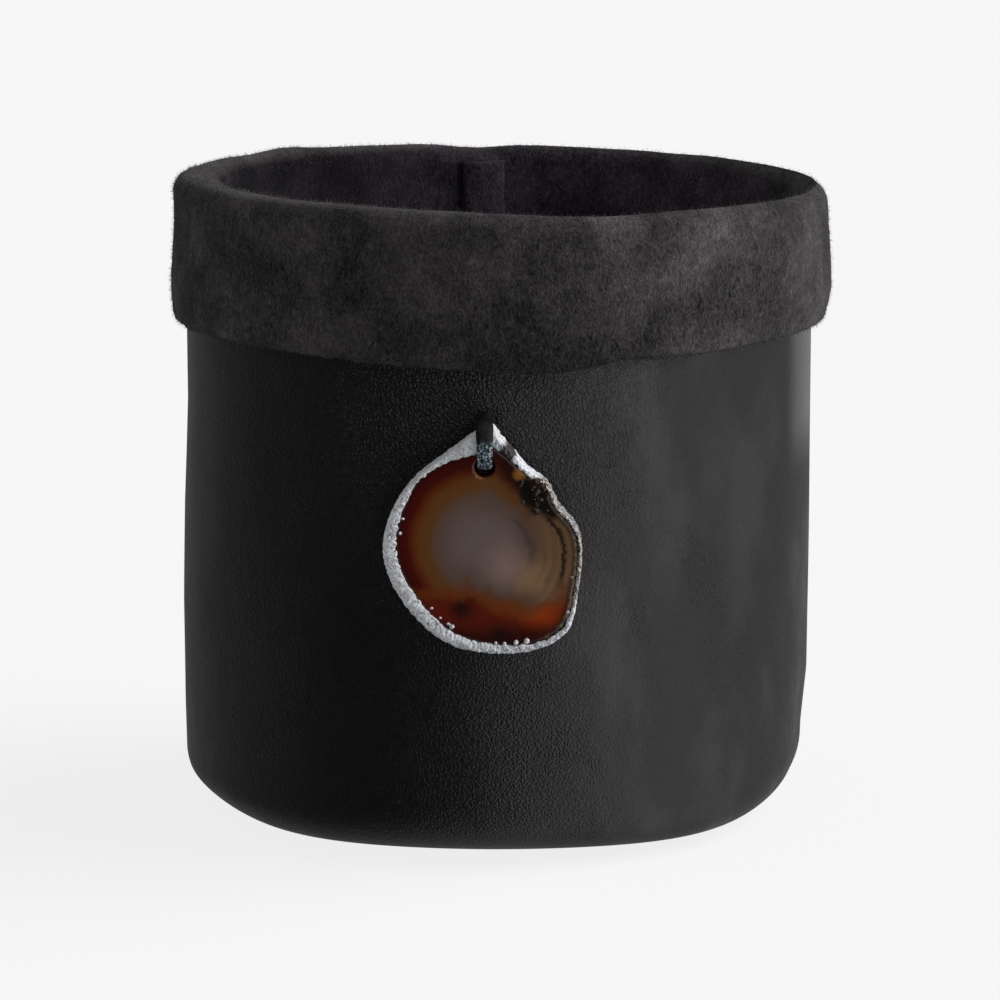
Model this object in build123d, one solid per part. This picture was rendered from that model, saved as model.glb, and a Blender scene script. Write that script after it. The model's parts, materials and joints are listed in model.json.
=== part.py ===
"""Leather dice cup with a turned-down suede cuff and a hanging agate slice.

Millimetres, +Z up.  The origin is the centre of the underside, and the
agate slice hangs on the -Y side.  Every sheet of the cup is laid up as it
would be on the bench: a grain leather wall moulded in under the base, a
suede lining moulded in on top of the base board and turned out over the rim.
"""

from build123d import *
from math import asin, atan2, cos, degrees, radians, sin
import os

# ---- driving dimensions -----------------------------------------------------

# overall sizes of the cup
body_diameter = 90.0  # outside of the grain leather wall
cup_height = 92.0  # underside to the top of the folded rim

# sheets, and the room that they take when they are glued together
wall_thickness = 1.4
lining_thickness = 1.4
glue_line = 0.1  # between two curved sheets
seam_gap = 0.15  # between the butted ends of one sheet
cut_margin = 2.0  # how far a cut runs past what it cuts

# suede cuff
cuff_drop = 21.0  # top of the rim to the cuff's lower edge
cuff_clearance = 0.8  # between the cuff and the wall behind it
cuff_edge_round = 0.35

# bottom of the cup, from below
cover_overlap = 5.0  # of the base cover under the wall's hem
cover_thickness = 1.2
cover_edge_round = 0.4
wall_corner_radius = 11.0
wall_hem_width = 11.0  # flat part of the hem, inside the corner
board_thickness = 2.2
lining_corner_radius = 9.5
lining_hem_width = 7.0
floor_thickness = 1.8  # above the lining's hem
floor_edge_round = 0.5
disc_clearance = 0.15  # round each disc, inside what it lies in

# back seam, turned a little from the +Y direction
seam_angle = 95.0
backing_width = 11.0
backing_thickness = 0.7
backing_end_margin = 3.0
strip_width = 6.4
strip_thickness = 1.0
stitch_row_offset = 2.6
stitch_pitch = 3.6
stitch_length = 2.8
stitch_width = 0.7
stitch_thickness = 0.55
stitch_groove_depth = 0.35
stitch_clearance = 0.08
stitch_end_margin = 4.0

# lace, from its slit in the wall
lace_width = 2.15
lace_thickness = 0.9
lace_bend_radius = 1.2
lace_clearance = 0.15  # between the lace and the slice's two faces
slit_below_cuff = 6.9
slit_clearance = 0.2
slit_stand_off = 0.3  # between the wall and the lace's bend
tail_length = 9.0
tail_thickness = 0.5
pocket_clearance = 0.05

# agate slice and its silver edge
slice_width = 27.0
slice_height = 31.6
slice_thickness = 3.4
hole_radius = 1.45
hole_below_apex = 5.6
edge_proud = 0.15  # silver above each face of the slice
slice_rest_gap = 0.3  # between the slice's low end and the wall

# Outline of the slice from its apex: share of the width, share of the height,
# and the width of the silver band in millimetres.
slice_outline = [
    (0.01, 0.00, 3.2),
    (-0.07, 0.045, 2.6),
    (-0.17, 0.11, 1.5),
    (-0.35, 0.23, 1.1),
    (-0.47, 0.38, 1.3),
    (-0.515, 0.56, 1.8),
    (-0.455, 0.72, 1.9),
    (-0.335, 0.86, 1.9),
    (-0.18, 0.96, 1.7),
    (0.07, 1.00, 1.3),
    (0.28, 0.975, 0.9),
    (0.42, 0.89, 0.7),
    (0.465, 0.74, 0.45),
    (0.485, 0.60, 0.4),
    (0.45, 0.43, 0.4),
    (0.36, 0.335, 0.4),
    (0.31, 0.25, 0.4),
    (0.22, 0.19, 0.6),
    (0.13, 0.10, 1.0),
    (0.07, 0.04, 2.2),
]

# ---- values that follow from them --------------------------------------------

wall_radius = body_diameter / 2
wall_inner_radius = wall_radius - wall_thickness
lining_radius = wall_inner_radius - glue_line
lining_inner_radius = lining_radius - lining_thickness
cuff_inner_radius = wall_radius + cuff_clearance
cuff_radius = cuff_inner_radius + lining_thickness
fold_radius = (cuff_radius - lining_inner_radius) / 2
fold_inner_radius = fold_radius - lining_thickness
fold_center_radius = lining_inner_radius + fold_radius
fold_z = cup_height - fold_radius
cuff_edge_z = cup_height - cuff_drop

hem_top_z = cover_thickness + wall_thickness
board_top_z = hem_top_z + board_thickness
lining_hem_top_z = board_top_z + lining_thickness
floor_top_z = lining_hem_top_z + floor_thickness
wall_corner_x = wall_radius - wall_corner_radius
lining_corner_x = lining_radius - lining_corner_radius
wall_hem_radius = wall_corner_x - wall_hem_width
lining_hem_radius = lining_corner_x - lining_hem_width
cover_radius = wall_hem_radius + cover_overlap
board_radius = wall_corner_x - disc_clearance
floor_radius = lining_corner_x - disc_clearance
wall_straight_z = cover_thickness + wall_corner_radius
lining_straight_z = board_top_z + lining_corner_radius

slit_z = cuff_edge_z - slit_below_cuff
hinge_y = -(wall_radius + slit_stand_off + lace_thickness)
edge_thickness = slice_thickness + 2 * edge_proud
edge_back = -lace_clearance
slice_back = edge_back - edge_proud
lace_front = edge_back - edge_thickness - lace_clearance
apex_z = -(lace_thickness / 2 + lace_clearance)
hole_z = apex_z - hole_below_apex
slice_drop = slice_height - apex_z
lean = degrees(asin((-hinge_y - edge_back - wall_radius - slice_rest_gap) / slice_drop))


# ---- helpers -----------------------------------------------------------------


def at_angle(shape, angle):
    """Turn a shape that was made on the +X side to its angle round the cup."""
    return Rot(0, 0, angle) * shape


def half_section(edges):
    """A closed half section, drawn with radius across and height up."""
    return Plane.XZ * make_face(Curve() + edges)


def ring_segment(inner_radius, outer_radius, width, bottom, top):
    """A strip bent to the cup's curve, centred on the +X side."""
    sweep_angle = degrees(width / inner_radius)
    place = Plane.XZ * Pos((inner_radius + outer_radius) / 2, (bottom + top) / 2)
    section = place * Rectangle(outer_radius - inner_radius, top - bottom)
    return at_angle(revolve(section, Axis.Z, sweep_angle), -sweep_angle / 2)


def disc(radius, bottom, top):
    """A flat disc on the cup's axis."""
    return Pos(0, 0, (bottom + top) / 2) * Cylinder(radius, top - bottom)


def seam_cut():
    """The thin gap where the two ends of a sheet meet at the back."""
    reach = cuff_radius + cut_margin
    gap = Pos(reach / 2, 0, cup_height / 2) * Box(reach, seam_gap, cup_height + cut_margin)
    return at_angle(gap, seam_angle)


def hang(shape):
    """Put a piece of the pendant at its hinge, leaning back on the wall."""
    return Pos(0, hinge_y, slit_z) * Rot(lean, 0, 0) * shape


# ---- sheets of the cup -------------------------------------------------------


def wall_section():
    """Hem, moulded corner and upright of the grain leather wall."""
    corner = (wall_corner_x, wall_straight_z)
    return half_section(
        [
            Line((wall_hem_radius, cover_thickness), (wall_corner_x, cover_thickness)),
            CenterArc(corner, wall_corner_radius, -90, 90),
            Line((wall_radius, wall_straight_z), (wall_radius, fold_z)),
            Line((wall_radius, fold_z), (wall_inner_radius, fold_z)),
            Line((wall_inner_radius, fold_z), (wall_inner_radius, wall_straight_z)),
            CenterArc(corner, wall_corner_radius - wall_thickness, 0, -90),
            Line((wall_corner_x, hem_top_z), (wall_hem_radius, hem_top_z)),
            Line((wall_hem_radius, hem_top_z), (wall_hem_radius, cover_thickness)),
        ]
    )


def lining_section():
    """Hem, corner, upright, fold over the rim and cuff of the suede."""
    corner = (lining_corner_x, lining_straight_z)
    fold = (fold_center_radius, fold_z)
    return half_section(
        [
            Line((lining_hem_radius, board_top_z), (lining_corner_x, board_top_z)),
            CenterArc(corner, lining_corner_radius, -90, 90),
            Line((lining_radius, lining_straight_z), (lining_radius, fold_z)),
            CenterArc(fold, fold_inner_radius, 180, -180),
            Line((cuff_inner_radius, fold_z), (cuff_inner_radius, cuff_edge_z)),
            Line((cuff_inner_radius, cuff_edge_z), (cuff_radius, cuff_edge_z)),
            Line((cuff_radius, cuff_edge_z), (cuff_radius, fold_z)),
            CenterArc(fold, fold_radius, 0, 180),
            Line((lining_inner_radius, fold_z), (lining_inner_radius, lining_straight_z)),
            CenterArc(corner, lining_corner_radius - lining_thickness, 0, -90),
            Line((lining_corner_x, lining_hem_top_z), (lining_hem_radius, lining_hem_top_z)),
            Line((lining_hem_radius, lining_hem_top_z), (lining_hem_radius, board_top_z)),
        ]
    )


def outer_wall():
    """Grain leather wall, with its butt seam at the back and its lace slit."""
    wall = revolve(wall_section(), Axis.Z, 360)
    wall -= seam_cut()
    channel_depth = backing_thickness + glue_line
    channel = ring_segment(
        wall_inner_radius - glue_line,
        wall_inner_radius + channel_depth,
        backing_width + 2 * disc_clearance,
        wall_straight_z + backing_end_margin - disc_clearance,
        fold_z - backing_end_margin + disc_clearance,
    )
    wall -= at_angle(channel, seam_angle)
    for side in (-1, 1):
        wall -= stitch_groove(side)
    slit = Box(
        lace_width + 2 * slit_clearance,
        2 * wall_thickness,
        2 * lace_thickness + 2 * slit_clearance,
    )
    wall -= Pos(0, -wall_radius + wall_thickness / 2, slit_z) * slit
    pocket = Box(
        lace_width + 2 * slit_clearance,
        2 * (tail_thickness + pocket_clearance),
        2 * (tail_length + slit_clearance),
    )
    return wall - Pos(0, -wall_inner_radius, slit_z) * pocket


def suede_lining():
    """Suede lining, turned out over the rim and down as the cuff."""
    lining = revolve(lining_section(), Axis.Z, 360)
    low, high = cuff_edge_z - cuff_edge_round, cuff_edge_z + cuff_edge_round
    cuff_edges = lining.edges().filter_by(GeomType.CIRCLE).filter_by_position(Axis.Z, low, high)
    return fillet(cuff_edges, cuff_edge_round) - seam_cut()


# ---- base --------------------------------------------------------------------


def base_cover():
    """Leather disc that the cup stands on, glued over the wall's hem."""
    cover = disc(cover_radius, 0, cover_thickness)
    return fillet(cover.edges().group_by(Axis.Z)[0], cover_edge_round)


def hem_filler():
    """Card that brings the inside of the wall's hem up level."""
    return disc(wall_hem_radius - disc_clearance, cover_thickness, hem_top_z)


def base_board():
    """Stiff board between the two hems."""
    return disc(board_radius, hem_top_z, board_top_z)


def floor_disc():
    """Suede-faced disc on the floor, stepped down inside the lining's hem."""
    floor = disc(floor_radius, lining_hem_top_z, floor_top_z)
    floor = fillet(floor.edges().group_by(Axis.Z)[-1], floor_edge_round)
    return floor + disc(lining_hem_radius - disc_clearance, board_top_z, lining_hem_top_z)


# ---- back seam ---------------------------------------------------------------


def back_seam_backing():
    """Leather strip glued in a skived channel behind the wall's butt seam."""
    strip = ring_segment(
        wall_inner_radius,
        wall_inner_radius + backing_thickness,
        backing_width,
        wall_straight_z + backing_end_margin,
        fold_z - backing_end_margin,
    )
    return at_angle(strip, seam_angle)


def lining_seam_strip():
    """Suede strip that covers the lining's butt seam inside the cup."""
    strip = ring_segment(
        lining_inner_radius - glue_line - strip_thickness,
        lining_inner_radius - glue_line,
        strip_width,
        lining_straight_z,
        fold_z,
    )
    return at_angle(strip, seam_angle)


def stitch_rows_start():
    """Height where the stitch rows begin, just above the moulded corner."""
    return wall_straight_z + stitch_end_margin


def stitch_count():
    """Stitches in a row, as many as the upright of the wall has room for."""
    row_length = fold_z - stitch_end_margin - stitch_rows_start()
    return int(row_length / stitch_pitch)


def on_stitch_row(shape, side):
    """Put a shape made on the wall's +X side on one of the two rows."""
    return at_angle(shape, seam_angle + side * degrees(stitch_row_offset / wall_radius))


def stitch_groove(side):
    """Shallow groove that one row of stitches lies in."""
    row_length = stitch_count() * stitch_pitch
    groove = Box(
        2 * stitch_groove_depth,
        stitch_width + 2 * stitch_clearance,
        row_length + 2 * stitch_clearance,
    )
    groove_z = stitch_rows_start() + row_length / 2
    return on_stitch_row(Pos(wall_radius, 0, groove_z) * groove, side)


def back_seam_stitches():
    """Two rows of waxed thread stitches, each one a separate short run."""
    outline = Plane.YZ * Rot(0, 0, 90) * SlotOverall(stitch_length, stitch_width)
    run = extrude(outline, stitch_thickness)
    run_radius = wall_radius - stitch_groove_depth + stitch_clearance
    stitches = []
    for side in (-1, 1):
        for number in range(stitch_count()):
            run_z = stitch_rows_start() + (number + 0.5) * stitch_pitch
            stitches.append(on_stitch_row(Pos(run_radius, 0, run_z) * run, side))
    return Compound(children=stitches)


# ---- lace --------------------------------------------------------------------


def lace_tails():
    """The lace inside its slit, and its two skived ends behind the wall."""
    throat_back = wall_inner_radius + tail_thickness
    throat = Box(lace_width, wall_radius - throat_back, 2 * lace_thickness)
    tails = Box(lace_width, tail_thickness, 2 * tail_length)
    throat = Pos(0, -(wall_radius + throat_back) / 2, slit_z) * throat
    return throat + Pos(0, -(wall_inner_radius + tail_thickness / 2), slit_z) * tails


def lace_loop():
    """The loop outside the wall: over the apex, down the face, back by the hole."""
    loop_bottom = hole_z - lace_thickness / 2
    loop_top = lace_thickness / 2
    outer_front = lace_front - lace_thickness
    outer_back = lace_thickness
    outer = RectangleRounded(outer_back - outer_front, loop_top - loop_bottom, lace_bend_radius)
    inner = RectangleRounded(
        outer_back - outer_front - 2 * lace_thickness,
        loop_top - loop_bottom - 2 * lace_thickness,
        lace_bend_radius - lace_thickness,
    )
    center = Pos((outer_front + outer_back) / 2, (loop_top + loop_bottom) / 2)
    section = Plane.YZ * center * (outer - inner)
    return hang(extrude(section, lace_width / 2, both=True))


# ---- agate slice -------------------------------------------------------------


def outline_points():
    """Outline of the slice in the hinge's own plane, apex first."""
    return [
        (across * slice_width, apex_z - down * slice_height)
        for across, down, band in slice_outline
    ]


def band_points():
    """The same points moved in, square to the outline, by the silver's width."""
    points = outline_points()
    moved = []
    for number, (x, z) in enumerate(points):
        before = points[number - 1]
        after = points[(number + 1) % len(points)]
        heading = atan2(after[1] - before[1], after[0] - before[0])
        band = slice_outline[number][2]
        moved.append((x - band * sin(heading), z + band * cos(heading)))
    return moved


def slab(points, back, thickness):
    """A closed smooth outline, made as thick as asked towards the front."""
    face = make_face(Spline(*points, periodic=True))
    return Pos(0, back, 0) * extrude(Plane.XZ * face, thickness)


def hole():
    """The drilled hole that the lace goes through."""
    return Pos(0, slice_back, hole_z) * Rot(90, 0, 0) * Cylinder(hole_radius, 4 * slice_thickness)


def agate_slice():
    """Polished agate, drilled near its apex."""
    return hang(slab(band_points(), slice_back, slice_thickness) - hole())


def silver_edge():
    """Silver that wraps the rough rim of the slice."""
    outside = slab(outline_points(), edge_back, edge_thickness)
    inside = slab(band_points(), edge_back, edge_thickness)
    return hang(outside - inside)


# ---- build -------------------------------------------------------------------

pieces = {
    "outer_wall": outer_wall,
    "suede_lining": suede_lining,
    "base_cover": base_cover,
    "hem_filler": hem_filler,
    "base_board": base_board,
    "floor_disc": floor_disc,
    "back_seam_backing": back_seam_backing,
    "back_seam_stitches": back_seam_stitches,
    "lining_seam_strip": lining_seam_strip,
    "lace_tails": lace_tails,
    "lace_loop": lace_loop,
    "agate_slice": agate_slice,
    "silver_edge": silver_edge,
}

os.makedirs("parts", exist_ok=True)
for name, make in pieces.items():
    export_step(make(), f"parts/{name}.step")

stone_hole_y = hinge_y - hole_z * sin(radians(lean))
stone_hole_z = slit_z + hole_z * cos(radians(lean))
print(f"lace hinge at y {hinge_y:.3f} z {slit_z:.3f}, lean {lean:.3f} degrees")
print(f"slice hole at y {stone_hole_y:.3f} z {stone_hole_z:.3f}, floor at z {floor_top_z:.3f}")
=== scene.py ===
"""Finish of a leather dice cup with a turned-down suede cuff and an agate slice.

Every size is in metres, in the cup's own frame: +Z up, the origin at the centre
of the underside, and the agate slice on the -Y side.
"""

import json
from math import asin, atan2, cos, exp, hypot, pi, radians, sin, tau

import bmesh
import bpy
import numpy as np
from bpy.props import FloatProperty, FloatVectorProperty, IntProperty, PointerProperty
from mathutils import Matrix, Vector, noise

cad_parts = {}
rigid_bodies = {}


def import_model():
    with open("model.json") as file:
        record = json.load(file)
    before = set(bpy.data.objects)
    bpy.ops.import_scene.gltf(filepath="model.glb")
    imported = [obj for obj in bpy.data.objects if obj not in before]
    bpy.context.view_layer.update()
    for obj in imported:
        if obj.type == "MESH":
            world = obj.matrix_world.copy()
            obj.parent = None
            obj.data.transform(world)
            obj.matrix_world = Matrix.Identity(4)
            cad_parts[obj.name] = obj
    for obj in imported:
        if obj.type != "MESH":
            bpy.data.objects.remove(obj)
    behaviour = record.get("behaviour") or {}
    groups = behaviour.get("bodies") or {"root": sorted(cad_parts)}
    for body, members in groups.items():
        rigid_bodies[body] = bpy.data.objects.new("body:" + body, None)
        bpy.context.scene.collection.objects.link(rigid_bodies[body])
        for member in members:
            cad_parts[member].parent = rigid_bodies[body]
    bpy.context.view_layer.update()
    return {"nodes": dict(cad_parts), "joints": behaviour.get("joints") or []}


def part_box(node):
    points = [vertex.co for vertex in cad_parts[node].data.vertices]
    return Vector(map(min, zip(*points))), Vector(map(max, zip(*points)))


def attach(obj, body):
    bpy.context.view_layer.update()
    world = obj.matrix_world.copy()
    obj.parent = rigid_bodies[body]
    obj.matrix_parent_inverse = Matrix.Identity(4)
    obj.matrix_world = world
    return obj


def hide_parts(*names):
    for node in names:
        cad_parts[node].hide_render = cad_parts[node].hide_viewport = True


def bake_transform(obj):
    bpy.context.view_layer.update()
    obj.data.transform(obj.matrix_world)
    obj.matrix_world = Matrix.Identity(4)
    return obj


bl_info = {
    "name": "Leather Dice Cup",
    "version": (1, 0, 0),
    "blender": (4, 5, 0),
    "location": "View3D > Sidebar > Dice Cup",
    "description": "Leather, suede, lace and agate finish of a dice cup",
    "category": "Add Mesh",
}

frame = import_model()
JOINTS = {joint["name"]: joint for joint in frame["joints"]}
MM = 0.001

# ---- places that the frame gives ----

WALL_LOW, WALL_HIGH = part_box("outer_wall")
LINING_LOW, LINING_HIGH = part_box("suede_lining")
STRIP_LOW, STRIP_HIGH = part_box("lining_seam_strip")
FLOOR_LOW, FLOOR_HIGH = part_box("floor_disc")
STITCH_LOW, STITCH_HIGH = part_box("back_seam_stitches")

WALL_RADIUS = WALL_HIGH.x
CUFF_RADIUS = LINING_HIGH.x
RIM_Z = LINING_HIGH.z
FOLD_Z = WALL_HIGH.z
FOLD_RADIUS = RIM_Z - FOLD_Z
LINING_RADIUS = CUFF_RADIUS - 2 * FOLD_RADIUS
SEAM_ANGLE = atan2((STITCH_LOW.y + STITCH_HIGH.y) / 2, (STITCH_LOW.x + STITCH_HIGH.x) / 2)
LACE_HINGE = Vector(JOINTS["lace_lift"]["pos_m"])
STONE_HINGE = Vector(JOINTS["stone_turn"]["pos_m"])
STONE_FRONT = Vector(JOINTS["stone_turn"]["axis"]).normalized()
STONE_UP = Vector((1, 0, 0)).cross(-STONE_FRONT).normalized()


# ---- settings ----


def plain(name, description, default, **kind):
    """A number property."""
    return FloatProperty(name=name, description=description, default=default, **kind)


def length(name, description, default):
    """A length property in metres."""
    return plain(name, description, default, unit="LENGTH", precision=5)


def turning(name, description, default):
    """An angle property in radians."""
    return plain(name, description, default, subtype="ANGLE")


def whole(name, description, default):
    """A property that counts."""
    return IntProperty(name=name, description=description, default=default)


def colour(name, description, default):
    """A linear colour property."""
    return FloatVectorProperty(
        name=name, description=description, default=default, subtype="COLOR", min=0, max=1
    )


class CupSettings(bpy.types.PropertyGroup):
    """Sheets of the cup."""

    sheet: length("Sheet", "Thickness of the leather and of the suede", 1.4 * MM)
    wall_corner: length("Wall corner", "Outer radius of the wall's bottom corner", 11 * MM)
    wall_hem: length("Wall hem", "Flat width of the wall's hem", 11 * MM)
    lining_corner: length("Lining corner", "Outer radius of the lining's corner", 9.5 * MM)
    lining_hem: length("Lining hem", "Flat width of the lining's hem", 7 * MM)
    cuff_drop: length("Cuff drop", "From the rim's top to the cuff's lower edge", 21 * MM)
    wall_top: length("Wall top", "How far the wall's top edge lies under the rim", 11 * MM)
    columns: whole("Columns", "Columns of faces round the cup", 340)
    leather: colour("Leather", "Colour of the grain leather", (0.0062, 0.0059, 0.006))
    suede: colour("Suede", "Colour of the suede", (0.095, 0.087, 0.09))


class NapSettings(bpy.types.PropertyGroup):
    """Loose fibres of the suede."""

    fibres: whole("Fibres", "Loose fibres on the rim and the cuff", 34000)
    fibre_length: length("Fibre length", "Mean length of a loose fibre", 0.5 * MM)
    fibre_radius: length("Fibre radius", "Radius of a fibre at its root", 0.024 * MM)


class PendantSettings(bpy.types.PropertyGroup):
    """Lace, agate slice and silver edge."""

    lace_width: length("Lace width", "Width of the lace", 2.15 * MM)
    lace_thickness: length("Lace thickness", "Thickness of the lace", 0.9 * MM)
    slice_thickness: length("Slice thickness", "Thickness of the agate slice", 3.4 * MM)
    edge_proud: length("Silver proud", "How far the silver stands out of the slice", 0.15 * MM)
    hole_radius: length("Hole radius", "Radius of the drilled hole", 1.45 * MM)
    silver: colour("Silver", "Colour of the silver", (0.9, 0.93, 0.98))


class StageSettings(bpy.types.PropertyGroup):
    """Floor, lights and camera."""

    camera_distance: length("Distance", "Camera to the cup's axis, along the floor", 0.63)
    camera_height: length("Height", "Camera above the floor", 0.1612)
    camera_turn: turning("Turn", "Camera's angle round the cup", radians(2.0))
    camera_pitch: turning("Pitch", "How far the camera looks down", 0.18)
    focal_length: plain("Focal length", "Camera's lens in millimetres", 156.8)
    fill: plain("Fill", "Strength of the even soft light", 0.36)
    gloss: plain("Gloss", "Strength of the brightest side in reflections", 1.9)
    bright_side: turning("Bright side", "Angle from the front to the bright side", radians(84))
    key_power: plain("Key", "Power of the softbox on the bright side", 12.5)
    left_power: plain("Left", "Power of the softbox on the left", 1.2)
    sun_power: plain("Sun", "Strength of the sun, which shades the floor alone", 4.0)
    floor_glow: plain("Floor glow", "Light that the floor gives by itself", 0.83)
    floor: colour("Floor", "Colour of the floor", (0.09, 0.09, 0.09))


# ---- shader graph ----


def both_ways(operation):
    """An operator and its reflected form, each adding one Math node."""
    return (
        lambda field, other: field.graph.maths(operation, field, other),
        lambda field, other: field.graph.maths(operation, other, field),
    )


class Field:
    """A value that varies over a surface.  Arithmetic on it adds Math nodes."""

    __add__, __radd__ = both_ways("ADD")
    __sub__, __rsub__ = both_ways("SUBTRACT")
    __mul__, __rmul__ = both_ways("MULTIPLY")
    __truediv__, __rtruediv__ = both_ways("DIVIDE")
    __pow__, __rpow__ = both_ways("POWER")

    def __init__(self, graph, socket):
        self.graph = graph
        self.socket = socket


class Graph:
    """The nodes of one material or world, and the one method that adds a node."""

    def __init__(self, name, kind="materials", coordinates="Object"):
        self.owner = getattr(bpy.data, kind).new(name)
        self.owner.use_nodes = True
        self.tree = self.owner.node_tree
        self.tree.nodes.clear()
        self.place = self.node("ShaderNodeTexCoord", output=coordinates)

    def node(self, kind, settings=None, sockets=None, output=None):
        """Add a node: settings first, then sockets.  Gives one of its outputs."""
        node = self.tree.nodes.new(kind)
        for key, value in (settings or {}).items():
            if key == "stops":
                self.set_stops(node.color_ramp, value)
            else:
                setattr(node, key, value)
        for key, value in (sockets or {}).items():
            self.feed(self.usable(node.inputs, key), value)
        return Field(self, self.usable(node.outputs, output)) if node.outputs else None

    @staticmethod
    def usable(sockets, key):
        """The socket in use with that name or number, or the first in use."""
        if isinstance(key, int):
            return sockets[key]
        return next(s for s in sockets if s.enabled and key in (None, s.name))

    @staticmethod
    def set_stops(ramp, stops):
        """Give a colour ramp its stops."""
        while len(ramp.elements) < len(stops):
            ramp.elements.new(1)
        for element, (place, shade) in zip(ramp.elements, stops):
            element.position = place
            element.color = (*shade, 1)

    def feed(self, socket, value):
        """Link a field to a socket, or set the socket's own value."""
        if isinstance(value, Field):
            self.tree.links.new(value.socket, socket)
        elif socket.type == "RGBA" and len(value) == 3:
            socket.default_value = (*value, 1)
        else:
            socket.default_value = value

    def maths(self, operation, *values):
        """One Math node on numbers or fields."""
        return self.node("ShaderNodeMath", {"operation": operation}, dict(enumerate(values)))

    def distance(self, first, second):
        """Distance from the place where both are 0."""
        return self.maths("SQRT", first ** 2 + second ** 2)

    def stretched(self, vector, scale):
        """Coordinates stretched along the axes."""
        return self.node("ShaderNodeMapping", {}, {"Vector": vector, "Scale": scale})

    def split(self, vector, axis):
        """One axis of a vector."""
        return self.node("ShaderNodeSeparateXYZ", {}, {"Vector": vector}, axis)

    def noise(self, vector, size, detail=2.0, roughness=0.5, output="Fac"):
        """Soft noise from 0 to 1 whose features are about size across."""
        sockets = {"Vector": vector, "Scale": 1 / size, "Detail": detail, "Roughness": roughness}
        return self.node("ShaderNodeTexNoise", {}, sockets, output)

    def cells(self, vector, size, feature):
        """Cellular pattern whose cells are about size across."""
        sockets = {"Vector": vector, "Scale": 1 / size}
        return self.node("ShaderNodeTexVoronoi", {"feature": feature}, sockets, "Distance")

    def warped(self, vector, size, amount):
        """Coordinates pushed about by noise, by up to about amount."""

        def vector_maths(operation, sockets):
            return self.node("ShaderNodeVectorMath", {"operation": operation}, sockets)

        push = self.noise(vector, size, output="Color")
        offset = vector_maths("SUBTRACT", {0: push, 1: (0.5, 0.5, 0.5)})
        offset = vector_maths("SCALE", {0: offset, "Scale": 2 * amount})
        return vector_maths("ADD", {0: vector, 1: offset})

    def rise(self, value, low, high):
        """0 below low and 1 above high, with a smooth rise between."""
        sockets = {"Value": value, "From Min": low, "From Max": high}
        smooth = {"interpolation_type": "SMOOTHSTEP"}
        return self.node("ShaderNodeMapRange", smooth, sockets, "Result")

    def fall(self, value, low, high):
        """1 below low and 0 above high, with a smooth fall between."""
        return 1 - self.rise(value, low, high)

    def mix(self, first, second, factor, blend_type="MIX"):
        """Mix two colours."""
        settings = {"data_type": "RGBA", "blend_type": blend_type}
        sockets = {"Factor": factor, "A": first, "B": second}
        return self.node("ShaderNodeMix", settings, sockets, "Result")

    def layered(self, base, *layers):
        """A colour with others laid over it in turn, each where its mask is 1."""
        for tint, mask in layers:
            base = self.mix(base, tint, mask)
        return base

    def ramp(self, value, stops):
        """A colour for each value from 0 to 1."""
        return self.node("ShaderNodeValToRGB", {"stops": stops}, {"Fac": value}, "Color")

    def bump(self, height, distance, strength=1.0):
        """A normal from a height from 0 to 1, that many metres high."""
        sockets = {"Height": height, "Distance": distance, "Strength": strength}
        return self.node("ShaderNodeBump", {}, sockets, "Normal")

    def surface(self, **sockets):
        """Finish the material with one surface shader."""
        named = {key.replace("_", " "): value for key, value in sockets.items()}
        shader = self.node("ShaderNodeBsdfPrincipled", {}, named)
        self.node("ShaderNodeOutputMaterial", {}, {"Surface": shader})
        return self.owner


# ---- materials ----

# Bluish tint of the painted shade on the suede inside the cup, against the cuff's.
INNER_SHADE_TINT = (0.9, 0.78, 1.02)

# Colours of the suede's nap, from pressed to standing.
NAP_TONES = (
    (0.36, (0.06, 0.06, 0.065)),
    (0.47, (0.33, 0.33, 0.335)),
    (0.56, (0.6, 0.59, 0.59)),
    (0.68, (1.2, 1.16, 1.17)),
)

# Colours of the agate from its rim inwards, by share of the way to its heart.
AGATE_BANDS = (
    (0.0, (0.042, 0.0022, 0.0008)),
    (0.12, (0.06, 0.0026, 0.0009)),
    (0.19, (0.1, 0.017, 0.002)),
    (0.27, (0.118, 0.042, 0.008)),
    (0.4, (0.118, 0.05, 0.015)),
    (0.5, (0.112, 0.07, 0.046)),
)

# Colours of the agate's own places.
SMOKE = (0.145, 0.108, 0.103)
SMOKE_EDGE = (0.095, 0.06, 0.045)
SMOKE_LIGHT = (0.24, 0.17, 0.15)
SMOKE_LINE = (0.05, 0.037, 0.035)
HONEY = (0.18, 0.1, 0.045)
HONEY_LIGHT = (0.27, 0.175, 0.09)
HONEY_RING = (0.085, 0.055, 0.035)
FOOT_RED = (0.1, 0.009, 0.0016)
FOOT_ORANGE = (0.3, 0.04, 0.001)
FOOT_AMBER = (0.19, 0.035, 0.002)
FOOT_RIM = (0.03, 0.0022, 0.0008)
FOOT_STAIN = (0.02, 0.003, 0.0012)
FOOT_SPOT = (0.015, 0.003, 0.0015)
AMBER_GLOW = (0.15, 0.034, 0.002)
SHOULDER = (0.022, 0.004, 0.0015)
NOTCH = (0.006, 0.0035, 0.0015)
NOTCH_AMBER = (0.3, 0.13, 0.02)
CRACK = (0.012, 0.009, 0.006)
RIM_DARK = (0.012, 0.008, 0.005)
RIM_GOLD = (0.3, 0.22, 0.1)
BRIGHTER = (1.45, 1.38, 1.35)

# Colours of dark crystal, from thick to thin.
CRYSTAL_TONES = (
    (0.3, (0.006, 0.004, 0.003)),
    (0.55, (0.03, 0.015, 0.006)),
    (0.8, (0.25, 0.1, 0.02)),
)


def shade(base, factor):
    """A colour made lighter or darker."""
    return tuple(channel * factor for channel in base)


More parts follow.
